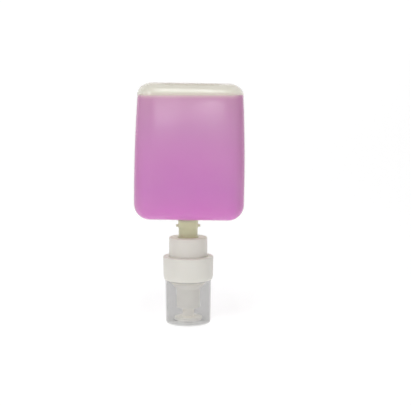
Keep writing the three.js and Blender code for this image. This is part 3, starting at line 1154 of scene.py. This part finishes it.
@dataclass
class Bottle(Assembly):
    """The bottle's shell with its neck, lugs and screw thread, and the soap inside it."""

    form: BottleForm
    waist: float = 9.7
    waist_low: float = 88.8
    waist_high: float = 97.2
    lug_height: float = 99.5
    lug_radius: float = 1.3
    lug_reach: float = 12.3
    soap_gap: float = 0.12
    level: float = 231.2
    meniscus: float = 0.7
    tube: float = 6.6
    tube_top: float = 96.3
    column_foot: float = 68.9
    thread_low: float = 73.5
    thread_rise: float = 9.0
    thread_turns: float = 2.2
    thread_wire: float = 0.26
    thread_taper: float = 0.06

    def neck_rings(self) -> list[np.ndarray]:
        """Give the outside of the neck, from its mouth to the flare under the shoulder."""
        form = self.form
        neck, waist = form.neck, self.waist
        outline = [
            (neck - 0.4, form.mouth),
            (neck, form.mouth + 0.4),
            (neck, self.waist_low - 0.2),
            (waist + 0.1, self.waist_low + 0.1),
            (waist, self.waist_low + 0.5),
            (waist, self.waist_high - 0.5),
            (waist + 0.1, self.waist_high - 0.1),
            (neck, self.waist_high + 0.2),
            (neck + 0.1, self.waist_high + 1.0),
            (neck, form.shoulder - 4.5),
            (neck + 0.25, form.shoulder - 3.4),
            (neck + 0.9, form.shoulder - 2.1),
            (neck + 1.9, form.shoulder - 0.9),
            (neck + 3.0, form.shoulder - 0.2),
        ]
        return [form.circle(radius, z) for radius, z in outline]

    def bore_rings(self) -> list[np.ndarray]:
        """Give the neck's bore, from the mouth to the shoulder's inside."""
        form = self.form
        outline = [
            (form.bore + 0.3, form.mouth),
            (form.bore, form.mouth + 0.3),
            (form.bore, form.shoulder - 5.0),
            (form.bore + 1.0, form.shoulder - 2.6),
            (form.bore + 3.0, form.shoulder - 0.1),
        ]
        return [form.circle(radius, z) for radius, z in outline]

    def shell(self) -> Object:
        """Build the bottle as one closed wall with a milky outside and a clearer inside."""
        form = self.form
        outside = self.neck_rings() + form.body(0.0)
        inside = self.bore_rings() + form.body(form.wall)
        faces: list = []
        form.skin(outside, 0, faces, 0)
        hidden: list = []
        count = len(outside[0])
        start = len(outside) * count
        form.skin(inside, 1, hidden, start)
        faces += [(corners[::-1], index) for corners, index in hidden]
        for i in range(count):
            after = (i + 1) % count
            faces.append(((start + i, start + after, after, i), 0))
        mesh = self.mesh("bottle_shell", outside + inside, faces)
        outer = MilkyWall("milky_bottle", wet_veil=0.16, dry_veil=0.40)
        inner = MilkyWall("milky_bottle_inside", wet_veil=0.02, dry_veil=0.06, under_veil=0.0)
        for wall in (outer, inner):
            mesh.materials.append(wall.material())
        mesh.polygons.foreach_set("material_index", [index for _, index in faces])
        smooth(mesh, 40)
        made = bare_object("bottle_shell", mesh)
        made.visible_shadow = False
        return place(made, self.body, Slot.BOTTLE, "bottle")

    def mesh(self, name: str, rings: list[np.ndarray], faces: list) -> Mesh:
        """Make a mesh of rings given in millimetres."""
        mesh = bpy.data.meshes.new(name)
        points = np.vstack(rings) * MM
        mesh.from_pydata(points.tolist(), [], [corners for corners, _ in faces])
        mesh.validate()
        return mesh

    def thread(self) -> Object:
        """Wind the screw thread that holds the closure on the neck."""
        buff = self.shop.buff
        made = self.shop.winder.wind(
            "neck_thread",
            buff.finish,
            Radius=(self.form.neck + 0.02) * MM,
            Low=self.thread_low * MM,
            Rise=self.thread_rise * MM,
            Turns=self.thread_turns,
            Closing=0.0,
            Wire=self.thread_wire * MM,
            Facets=8,
            Taper=self.thread_taper,
        )
        return place(made, self.body, buff.slot)

    def lugs(self) -> Object:
        """Turn the two round stops on the sides of the neck."""
        root, reach, radius = self.form.bore + 1.0, self.lug_reach, self.lug_radius
        corners = [(0.0, root, 0.0), (radius, root, 0.2), (radius, reach, 1.1), (0.0, reach, 0.0)]
        buff = self.shop.buff
        made = self.shop.lathe.turn("neck_lugs", corners, buff.finish, 32)
        work = bmesh.new()
        lift = Matrix.Translation((0.0, 0.0, self.lug_height * MM))
        for side in (1, -1):
            turned = made.data.copy()
            turned.transform(lift @ Matrix.Rotation(side * math.pi / 2, 4, "Y"))
            work.from_mesh(turned)
        work.to_mesh(made.data)
        work.free()
        smooth(made.data)
        return place(made, self.body, buff.slot)

    def soap(self) -> Object:
        """Build the soap, cut level and curling up a little where it meets the wall."""
        form = self.form
        skin = form.wall + self.soap_gap
        column = form.bore - self.soap_gap
        outline = [
            (2.0, self.tube_top + 1.4),
            (2.0, self.tube_top + 0.4),
            (self.tube, self.tube_top),
            (self.tube, self.column_foot),
            (column, self.column_foot),
            (column, form.shoulder - 4.0),
            (form.bore + 1.4, form.shoulder),
            (form.flare - skin - 1.0, form.shoulder + skin - 0.1),
        ]
        rings = [form.circle(radius, z) for radius, z in outline] + form.body(skin)
        faces: list = []
        form.skin(rings, 0, faces, 0)
        faces.append((tuple(range(len(rings[0])))[::-1], 0))
        mesh = self.mesh("soap_fill", rings, faces)
        self.cut_level(mesh)
        liquid = PinkLiquid("pink_soap", form.shoulder, self.level, form.half_width)
        mesh.materials.append(liquid.material())
        smooth(mesh, 40)
        return place(bare_object("soap_fill", mesh), self.body, Slot.SOAP, "soap")

    def cut_level(self, mesh: Mesh) -> None:
        """Cut the soap at its level and lower all but a rim against the wall.

        Args:
            mesh: The soap's mesh, filled to the base.
        """
        work = bmesh.new()
        work.from_mesh(mesh)
        cut = bmesh.ops.bisect_plane(
            work,
            geom=[*work.verts, *work.edges, *work.faces],
            plane_co=(0.0, 0.0, self.level * MM),
            plane_no=(0.0, 0.0, 1.0),
            clear_outer=True,
        )
        edges = [item for item in cut["geom_cut"] if isinstance(item, bmesh.types.BMEdge)]
        top = bmesh.ops.edgeloop_fill(work, edges=edges)["faces"]
        for share in (0.35, 0.65, 1.0):
            drop = -self.meniscus * MM * (0.5 if share < 0.5 else 0.3)
            bmesh.ops.inset_region(work, faces=top, thickness=0.45 * MM, depth=drop * share)
        work.to_mesh(mesh)
        work.free()
        face_outwards(mesh)

    def build(self) -> None:
        """Build the shell, its thread and lugs, and the soap."""
        self.shell()
        self.thread()
        self.lugs()
        self.soap()

# ------------------------------------------------------------------ collars and cap


@dataclass
class Collars(Assembly):
    """The closure on the neck, the wider collar snapped under it, and the neck's gasket."""

    radius: float = 19.4
    wall: float = 1.8
    hub: float = 72.0
    bore: float = 10.4
    plate: float = 2.0
    stop_radius: float = 21.0
    stop_low: float = 64.0
    stop_high: float = 66.4
    lower_foot_radius: float = 25.05
    lower_inside: float = 23.6

    def closure(self) -> Object:
        """Turn the upper collar."""
        low, high, _ = extent("closure")
        inner = self.radius - self.wall
        corners = [
            (inner, low, 0.3),
            (self.radius, low, 0.4),
            (self.radius, self.stop_low, 0.3),
            (self.stop_radius, self.stop_low, 0.5),
            (self.stop_radius, self.stop_high, 0.5),
            (self.radius, self.stop_high, 0.3),
            (self.radius, high, 1.5),
            (self.bore + 0.9, high, 0.3),
            (self.bore, high - 0.6, 0.3),
            (self.bore, self.hub, 0.3),
            (self.bore + 2.0, self.hub, 0.4),
            (self.bore + 2.0, high - self.plate, 0.6),
            (inner, high - self.plate, 1.0),
        ]
        return self.mould("closure_collar", "closure", self.shop.white, corners)

    def lower(self) -> Object:
        """Turn the lower collar with its chamfered foot."""
        foot, top, outer = extent("lower_collar")
        hole = self.radius + 0.3
        corners = [
            (self.lower_inside, foot, 0.2),
            (self.lower_foot_radius - 0.8, foot, 0.5),
            (self.lower_foot_radius, foot + 3.3, 1.2),
            (outer, top, 1.0),
            (hole, top, 0.4),
            (hole, top - self.plate, 0.3),
            (self.lower_inside, top - self.plate, 0.8),
        ]
        return self.mould("snap_collar", "lower_collar", self.shop.white, corners)

    def gasket(self) -> Object:
        """Turn the sealing washer under the neck's mouth."""
        low, high, outer = extent("neck_gasket")
        inner = 8.3
        corners = [(inner, low, 0.3), (outer, low, 0.3), (outer, high, 0.3), (inner, high, 0.3)]
        return self.mould("neck_washer", "neck_gasket", self.shop.elastomer, corners, 64)

    def build(self) -> None:
        """Build the collars and the gasket."""
        self.closure()
        self.lower()
        self.gasket()


@dataclass
class DustCap(Assembly):
    """The frosted cup over the nozzle, which the pack stands on."""

    body: ClassVar[Body] = Body.CAP
    wall: float = 1.1
    foot_radius: float = 22.6
    middle_radius: float = 23.25
    middle: float = 45.0
    rounding: float = 2.8
    gate_radius: float = 4.0
    gate_depth: float = 0.35
    floor_zone: float = 5.0

    def build(self) -> Object:
        """Turn the cup, with a clearer inside face and a shallow moulding gate under it."""
        _, rim, outer = extent("dust_cap")
        wall, gate = self.wall, self.gate_depth
        inner = outer - wall
        corners = [
            (0.0, gate, 0.0),
            (self.gate_radius, gate, 0.2),
            (self.gate_radius + 0.5, 0.0, 0.2),
            (self.foot_radius, 0.0, self.rounding),
            (self.middle_radius, self.middle, 2.0),
            (outer, rim, 0.5),
            (inner, rim, 0.4),
            (inner, rim - 2.0, 0.2),
            (inner - 0.25, rim - 3.0, 0.3),
            (inner, rim - 4.0, 0.2),
            (self.middle_radius - wall, self.middle, 2.0),
            (self.foot_radius - wall, wall, self.rounding - wall),
            (0.0, wall, 0.0),
        ]
        outside = Frosted("frosted_cap", veil=0.265, foot_veil=0.32).material()
        made = self.shop.lathe.turn("dust_cup", corners, outside, 128)
        inside = Frosted("frosted_cap_inside", veil=0.21, foot_veil=0.26).material()
        made.data.materials.append(inside)
        made.visible_shadow = False
        for face in made.data.polygons:
            spoke = Vector((face.center.x, face.center.y, 0.0))
            on_floor = face.normal.z > 0.5 and face.center.z < self.floor_zone * MM
            inward = face.normal.dot(spoke) < -1e-6 or on_floor
            face.material_index = 1 if inward else 0
        return place(made, self.body, Slot.CAP, "dust_cap")


# ------------------------------------------------------------------ pump


@dataclass
class PumpBody(Assembly):
    """The pump's fixed parts: housing, liquid cylinder, valve, wiper and spring."""

    bore: float = 15.9
    wall: float = 1.3
    nose: float = 11.9
    nose_top: float = 35.8
    nose_bore: float = 10.5
    floor: float = 18.1
    exit: float = 6.25
    ledge: float = 45.0
    flange_low: float = 42.6
    flange_high: float = 45.4
    cone_radius: float = 17.6
    relief: float = 16.2
    cone_bore: float = 13.6
    liquid_bore: float = 5.0
    valve_hole: float = 1.3
    inlet_ring: float = 3.0
    inlet_hole: float = 0.7
    wire: float = 0.6
    coil_turns: float = 5.5

    def housing(self) -> Object:
        """Turn the air barrel with its flange, cone and nose."""
        foot, top, flange = extent("air_cylinder")
        outer, groove = self.bore + self.wall, self.flange_low - 1.2
        corners = [
            (self.exit, foot, 0.3),
            (self.nose, foot, 0.9),
            (self.nose, self.nose_top, 0.4),
            (self.nose + 0.8, self.nose_top, 0.3),
            (self.cone_radius, groove, 0.4),
            (self.relief, groove, 0.2),
            (self.relief, self.flange_low, 0.2),
            (flange, self.flange_low, 0.5),
            (flange, self.flange_high, 0.4),
            (outer, self.flange_high, 0.3),
            (outer, top, 0.3),
            (self.bore, top, 0.3),
            (self.bore, self.ledge, 0.2),
            (self.cone_bore, self.ledge, 0.3),
            (self.cone_bore, self.flange_low, 0.8),
            (self.nose_bore, self.nose_top + 1.7, 1.2),
            (self.nose_bore, self.floor, 0.4),
            (self.exit, self.floor, 0.3),
        ]
        return self.mould("pump_housing", "air_cylinder", self.shop.bright, corners)

    def liquid_cylinder(self) -> Object:
        """Turn the liquid cylinder and punch its ring of inlet holes."""
        low, top, plate = extent("liquid_cylinder")
        outer, roof, seat = self.liquid_bore + self.wall, 2.0, 1.8
        corners = [
            (self.liquid_bore, low, 0.3),
            (plate, low, 0.3),
            (plate, low + seat, 0.3),
            (outer, low + seat, 0.5),
            (outer, top, 0.5),
            (self.valve_hole, top, 0.1),
            (self.valve_hole, top - roof, 0.1),
            (self.liquid_bore, top - roof, 0.3),
        ]
        return self.mould(
            "inner_cylinder",
            "liquid_cylinder",
            self.shop.bright,
            corners,
            64,
            Count=6,
            Ring=self.inlet_ring * MM,
            Hole=self.inlet_hole * MM,
            Middle=(top - roof / 2) * MM,
            Depth=4.0 * MM,
            Tilt=0.0,
        )

    def inlet_valve(self) -> Object:
        """Turn the mushroom valve under the liquid cylinder's roof."""
        low, high, _ = extent("inlet_valve")
        flap = low + 1.0
        corners = [
            (0.0, low, 0.0),
            (4.2, low + 0.5, 0.15),
            (4.2, flap, 0.15),
            (1.0, flap, 0.2),
            (1.0, high - 1.1, 0.1),
            (1.5, high - 1.1, 0.1),
            (0.8, high, 0.3),
            (0.0, high, 0.0),
        ]
        return self.mould("mushroom_valve", "inlet_valve", self.shop.elastomer, corners, 48)

    def wiper(self) -> Object:
        """Turn the lip seal round the stem's exit."""
        low, high, outer = extent("stem_wiper")
        lip = 6.2
        corners = [
            (lip, low, 0.2),
            (outer, low, 0.3),
            (outer, low + 1.6, 0.3),
            (lip + 1.4, low + 1.6, 0.4),
            (lip + 0.7, high, 0.2),
            (lip, high, 0.1),
        ]
        return self.mould("stem_lip_seal", "stem_wiper", self.shop.elastomer, corners, 64)

    def spring(self) -> Object:
        """Wind the return spring, which shortens towards its fixed top as the pump is pushed."""
        low, high = (corner.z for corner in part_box("return_spring"))
        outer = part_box("return_spring")[1].x
        wire = self.wire * MM
        made = self.shop.winder.wind(
            "return_coil",
            DrawnWire("spring_wire").material(),
            Radius=outer - wire,
            Low=low + wire,
            Rise=high - low - 2 * wire,
            Turns=self.coil_turns,
            Closing=0.5,
            Wire=wire,
            Facets=14,
            Taper=0.0001,
        )
        place(made, self.body, Slot.STEEL, "return_spring")
        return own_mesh(made)

    def build(self) -> None:
        """Build the fixed parts."""
        self.housing()
        self.liquid_cylinder()
        self.inlet_valve()
        self.wiper()
        self.spring()


@dataclass
class Plunger(Assembly):
    """The moving parts: stem, pistons, valves, foam screens and the push flange."""

    body: ClassVar[Body] = Body.PLUNGER
    stem_radius: float = 5.9
    stem_bore: float = 4.2
    shoulder: float = 45.0
    thin: float = 3.4
    passage: float = 1.8
    port: float = 0.8
    grip: float = 3.7
    spigot: float = 3.9
    nozzle: float = 4.5
    nozzle_bore: float = 2.6
    vent_ring: float = 12.6
    vent_hole: float = 0.8
    rim_wall: float = 0.7

    def stem(self) -> Object:
        """Turn the hollow stem and drill its air ports."""
        low, high, _ = extent("stem")
        corners = [
            (self.stem_bore, low, 0.2),
            (self.stem_radius, low, 0.3),
            (self.stem_radius, self.shoulder, 0.4),
            (self.thin, self.shoulder, 0.3),
            (self.thin, high, 0.3),
            (self.passage, high, 0.2),
            (self.passage, self.shoulder - 4, 0.3),
            (self.stem_bore, self.shoulder - 6, 0.4),
        ]
        return self.mould(
            "plunger_stem",
            "stem",
            self.shop.bright,
            corners,
            72,
            Count=4,
            Ring=(self.thin + self.passage) / 2 * MM,
            Hole=self.port * MM,
            Middle=(self.shoulder + 5.1) * MM,
            Depth=2.6 * MM,
            Tilt=math.pi / 2,
        )

    def flange(self) -> Object:
        """Turn the push flange with its nozzle and spigot."""
        tip, top, radius = extent("push_flange")
        low, high = tip + 0.6, top - 8.0
        corners = [
            (self.nozzle_bore, tip, 0.2),
            (self.nozzle - 0.5, tip, 0.4),
            (self.nozzle, low, 0.3),
            (radius, low, 0.6),
            (radius, high, 0.6),
            (self.spigot + 3.2, high, 0.2),
            (self.spigot + 2.6, high - 0.35, 0.2),
            (self.spigot, high - 0.35, 0.2),
            (self.spigot, top, 0.4),
            (self.nozzle_bore, top, 0.2),
        ]
        return self.mould("nozzle_flange", "push_flange", self.shop.bright, corners)

    def liquid_piston(self) -> Object:
        """Turn the cup seal on the stem's end."""
        low, high, lip = extent("liquid_piston")
        seat = low + 4.4
        corners = [
            (self.grip, low, 0.1),
            (lip - 0.2, low, 0.2),
            (lip - 0.2, low + 1.5, 0.1),
            (lip, low + 2.0, 0.1),
            (lip, high, 0.15),
            (lip - 0.5, high, 0.1),
            (lip - 0.9, seat + 1.6, 0.3),
            (1.4, seat + 1.6, 0.2),
            (1.4, seat, 0.1),
            (self.grip, seat, 0.2),
        ]
        return self.mould("cup_piston", "liquid_piston", self.shop.bright, corners, 48)

    def outlet_valve(self) -> Object:
        """Turn the duckbill in the stem's passage."""
        low, high, _ = extent("outlet_valve")
        corners = [
            (0.3, low, 0.05),
            (0.8, low, 0.1),
            (1.5, low + 3.5, 0.2),
            (1.5, high - 0.8, 0.1),
            (2.9, high - 0.8, 0.15),
            (2.9, high, 0.2),
            (0.9, high, 0.2),
        ]
        return self.mould("duckbill_valve", "outlet_valve", self.shop.elastomer, corners, 40)

    def air_piston(self) -> Object:
        """Turn the air piston and punch its inlet holes."""
        low, lip, edge = extent("air_piston")
        disc, hub = low + 1.5, low + 3.0
        corners = [
            (self.grip, low, 0.1),
            (edge, low, 0.2),
            (edge, lip, 0.3),
            (edge - self.rim_wall, lip, 0.2),
            (edge - self.rim_wall, disc, 0.4),
            (self.grip + 1.2, disc, 0.3),
            (self.grip + 1.2, hub, 0.3),
            (self.grip, hub, 0.1),
        ]
        return self.mould(
            "air_piston_disc",
            "air_piston",
            self.shop.bright,
            corners,
            80,
            Count=6,
            Ring=self.vent_ring * MM,
            Hole=self.vent_hole * MM,
            Middle=(low + 0.75) * MM,
            Depth=4.0 * MM,
            Tilt=0.0,
        )

    def air_valve(self) -> Object:
        """Turn the flap ring over the air piston's holes."""
        low, high, outer = extent("air_valve")
        inner = 10.9
        corners = [
            (inner, low, 0.1),
            (outer, low, 0.1),
            (outer, low + 0.4, 0.15),
            (inner + 1.0, low + 0.6, 0.2),
            (inner + 1.0, high, 0.2),
            (inner, high, 0.2),
        ]
        return self.mould("air_flap", "air_valve", self.shop.elastomer, corners, 72)

    def foam_cartridge(self) -> None:
        """Turn the mixing sleeve and weave the screens at its two ends."""
        low, high, radius = extent("mixing_sleeve")
        bore = 3.1
        corners = [(bore, low, 0.2), (radius, low, 0.2), (radius, high, 0.2), (bore, high, 0.2)]
        self.mould("foam_sleeve", "mixing_sleeve", self.shop.bright, corners, 48)
        cloth = Woven("nylon_screen").material()
        for node, pitch in (("upper_screen", 0.42), ("lower_screen", 0.3)):
            bottom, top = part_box(node)
            yarn = (top.z - bottom.z) / 4.4
            screen = self.shop.loom.weave(
                node + "_cloth",
                cloth,
                Radius=top.x - 2 * yarn,
                Pitch=pitch * MM,
                Yarn=yarn,
                Height=(top.z + bottom.z) / 2,
            )
            place(screen, self.body, Slot.MESH, node)

    def build(self) -> None:
        """Build the moving parts."""
        self.stem()
        self.flange()
        self.liquid_piston()
        self.outlet_valve()
        self.air_piston()
        self.air_valve()
        self.foam_cartridge()


# ------------------------------------------------------------------ studio


@dataclass
class Studio:
    """Pale sweep, soft lights and the camera. Lengths are metres."""

    half_width: float = 1.6
    front: float = -1.6
    back: float = 0.9
    cove: float = 0.45
    cove_steps: int = 16
    top: float = 1.7
    distance: float = 1.155
    eye_height: float = 0.260
    pitch: float = math.radians(6.8)
    aim_right: float = 0.0175
    lens: float = 101.2

    def sweep(self) -> None:
        """Build the floor, curved up behind into a backdrop."""
        line = [(self.front, 0.0), (0.0, 0.0), (self.back - self.cove, 0.0)]
        for step in range(1, self.cove_steps + 1):
            angle = math.pi / 2 * step / self.cove_steps
            y = self.back - self.cove + self.cove * math.sin(angle)
            line.append((y, self.cove * (1 - math.cos(angle))))
        line.append((self.back, self.top))
        points = [(side * self.half_width, y, z) for y, z in line for side in (-1, 1)]
        faces = [(2 * i, 2 * i + 1, 2 * i + 3, 2 * i + 2) for i in range(len(line) - 1)]
        mesh = bpy.data.meshes.new("sweep")
        mesh.from_pydata(points, [], faces)
        mesh.materials.append(Paper().material())
        smooth(mesh, 60)
        bare_object("sweep", mesh)

    def lamp(
        self, name: str, stand: tuple, aim: tuple, size: tuple[float, float], power: float
    ) -> None:
        """Hang one soft light.

        Args:
            name: The light's name.
            stand: Where it hangs.
            aim: Where it points.
            size: Its width and height.
            power: Watts.
        """
        light = bpy.data.lights.new(name, "AREA")
        light.shape = "RECTANGLE"
        light.size, light.size_y = size
        light.energy = power
        made = bpy.data.objects.new(name, light)
        made.location = stand
        heading = Vector(aim) - Vector(stand)
        made.rotation_euler = heading.to_track_quat("-Z", "Y").to_euler()
        bpy.context.scene.collection.objects.link(made)

    def world(self) -> None:
        """Set the even ambient light and the plain view transform."""
        scene = bpy.context.scene
        scene.world = bpy.data.worlds.new("studio_air")
        scene.world.use_nodes = True
        air = scene.world.node_tree.nodes["Background"]
        air.inputs["Color"].default_value = (1.0, 1.0, 1.0, 1.0)
        air.inputs["Strength"].default_value = 0.3
        scene.view_settings.view_transform = "Standard"

    def camera(self) -> None:
        """Stand the camera in front, a little above the pack and a touch to its right."""
        level = Vector((self.aim_right, self.distance, 0.0)).normalized()
        heading = level * math.cos(self.pitch) - Vector((0.0, 0.0, math.sin(self.pitch)))
        lens = bpy.data.cameras.new("camera")
        lens.lens = self.lens
        lens.clip_start = 0.01
        made = bpy.data.objects.new("camera", lens)
        made.location = (0.0, -self.distance, self.eye_height)
        made.rotation_euler = heading.to_track_quat("-Z", "Y").to_euler()
        bpy.context.scene.collection.objects.link(made)
        bpy.context.scene.camera = made

    def build(self) -> None:
        """Build the sweep, lights, world and camera."""
        self.sweep()
        middle, high = (0.0, 0.0, 0.15), (0.0, 0.0, 0.21)
        strip, glint = (0.07, 0.5), (0.04, 0.04)
        self.lamp("key", (-0.66, -0.9, 0.74), middle, (0.45, 0.45), 2.5)
        self.lamp("fill", (0.8, -0.9, 0.5), middle, (0.7, 0.7), 0.35)
        self.lamp("strip_left", (-0.045, -0.56, 1.09), (-0.02, -0.04, 0.237), strip, 1.15)
        self.lamp("strip_right", (0.055, -0.56, 1.09), (0.03, -0.04, 0.237), strip, 1.15)
        self.lamp("glint_left", (-0.075, -1.155, 0.284), high, glint, 0.12)
        self.lamp("glint_right", (0.064, -1.155, 0.298), high, glint, 0.12)
        self.world()
        self.camera()


def workshop() -> Workshop:
    """Build the shared trees and finishes."""
    white = Moulded("white_polypropylene", (236, 234, 226), (230, 228, 219))
    # The pump's parts inside the cup use the same white plastic as the collars, painted paler and
    # given a painted glow so that they stay lit behind the frosted cup.
    bright = Moulded("glow_painted_polypropylene", (250, 247, 241), (245, 242, 235), painted_glow=0.15)
    buff = Moulded("buff_polyethylene", (226, 226, 204), (218, 218, 194), 0.35)
    rubber = Moulded("pale_elastomer", (206, 201, 189), (194, 188, 176), 0.6, 0.05, 0.2, 0.3)
    return Workshop(
        lathe=TurningLathe(),
        punch=HolePunch(),
        winder=Winder(),
        loom=Loom(),
        white=Stock(white.material(), Slot.WHITE),
        bright=Stock(bright.material(), Slot.WHITE),
        elastomer=Stock(rubber.material(), Slot.ELASTOMER),
        buff=Stock(buff.material(), Slot.BOTTLE),
    )


def main() -> None:
    """Build the studio and every sub-assembly in order."""
    logging.basicConfig(level=logging.INFO, format="%(message)s")
    Studio().build()
    shop = workshop()
    Bottle(shop, BottleForm()).build()
    Collars(shop).build()
    PumpBody(shop).build()
    Plunger(shop).build()
    DustCap(shop).build()


if __name__ == "__main__":
    main()
